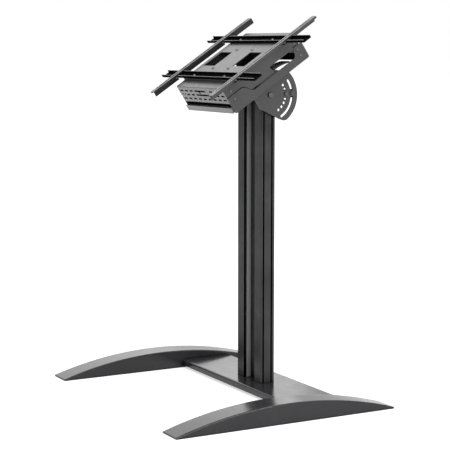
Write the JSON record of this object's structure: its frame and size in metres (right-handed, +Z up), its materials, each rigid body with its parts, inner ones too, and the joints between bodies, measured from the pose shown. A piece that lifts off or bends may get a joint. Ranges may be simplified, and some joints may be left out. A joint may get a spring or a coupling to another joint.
{
  "type": "display floor stand",
  "caption": "Floor stand for a flat display: arched sheet feet, slotted extruded column and a tilting head with index quadrants, vented tray, rails and sliding brackets.",
  "frame": {"origin": "on the floor, under the middle of the whole stand's bounding box", "axes": "+X to the right seen from the front, +Y to the back, +Z up"},
  "size_m": [0.9506, 0.78, 1.2468],
  "materials": {
    "sheet": "black powder coat, fine texture, semi-gloss",
    "inner_sheet": "black powder coat, inside face",
    "column_finish": "black powder coated extrusion, semi-gloss",
    "cap_plastic": "black moulded plastic",
    "zinc": "zinc plated",
    "bright_zinc": "bright zinc plated",
    "washer_nylon": "natural nylon",
    "dark_screw": "black oxide",
    "head_sheet": "black powder coat, semi-gloss",
    "lock_metal": "nickel plated"
  },
  "bodies": {
    "stand": {"left_foot": "sheet", "right_foot": "sheet", "left_foot_sole": "inner_sheet", "right_foot_sole": "inner_sheet", "cross_plate": "sheet", "plate_stiffener": "inner_sheet", "foot_bolts": "zinc", "foot_nuts": "zinc", "column": "column_finish", "column_cap": "cap_plastic", "column_bolts": "zinc", "column_washers": "zinc", "left_yoke_cheek": "head_sheet", "right_yoke_cheek": "head_sheet", "yoke_screws": "zinc", "yoke_slot_nuts": "zinc", "left_pivot_bolt": "dark_screw", "right_pivot_bolt": "dark_screw", "pivot_nuts": "zinc", "thrust_washers": "washer_nylon", "clamp_bolts": "dark_screw", "clamp_washers": "dark_screw", "clamp_nuts": "zinc"},
    "head": {"left_quadrant": "head_sheet", "right_quadrant": "head_sheet", "front_riser": "head_sheet", "rear_riser": "head_sheet", "riser_screws": "dark_screw", "riser_nuts": "zinc", "left_arm": "head_sheet", "right_arm": "head_sheet", "arm_splices": "head_sheet", "arm_screws": "bright_zinc", "arm_nuts": "zinc", "front_lip": "head_sheet", "rear_bar": "head_sheet", "box_floor": "head_sheet", "tray": "head_sheet", "vent_panel": "head_sheet", "lock_housing": "lock_metal", "front_rail": "head_sheet", "rear_rail": "head_sheet", "rail_screws": "dark_screw", "rail_nuts": "zinc"},
    "lock": {"lock_barrel": "lock_metal", "lock_cam": "lock_metal"},
    "left_display_bracket": {"left_bracket": "head_sheet", "left_bracket_screws": "bright_zinc", "left_slot_nuts": "zinc"},
    "right_display_bracket": {"right_bracket": "head_sheet", "right_bracket_screws": "bright_zinc", "right_slot_nuts": "zinc"},
    "left_pin": {"left_index_pin": "dark_screw"},
    "right_pin": {"right_index_pin": "dark_screw"}
  },
  "joints": [
    {"name": "head_tilt", "type": "hinge", "parent": "stand", "child": "head", "pos_m": [0, 0.1509, 0.9917], "axis": [1, 0, 0], "range_deg": [-30, 60]},
    {"name": "left_bracket_slide", "type": "slide", "parent": "head", "child": "left_display_bracket", "axis": [-1, 0, 0], "range_m": [-0.035, 0.09]},
    {"name": "right_bracket_slide", "type": "slide", "parent": "head", "child": "right_display_bracket", "axis": [1, 0, 0], "range_m": [-0.035, 0.09]},
    {"name": "left_pin_pull", "type": "slide", "parent": "stand", "child": "left_pin", "axis": [-1, 0, 0], "range_m": [0, 0.03]},
    {"name": "right_pin_pull", "type": "slide", "parent": "stand", "child": "right_pin", "axis": [1, 0, 0], "range_m": [0, 0.03]},
    {"name": "lock_turn", "type": "hinge", "parent": "head", "child": "lock", "pos_m": [-0.016, -0.05354, 0.99801], "axis": [0, -0.8339, -0.5519], "range_deg": [-90, 0]}
  ]
}
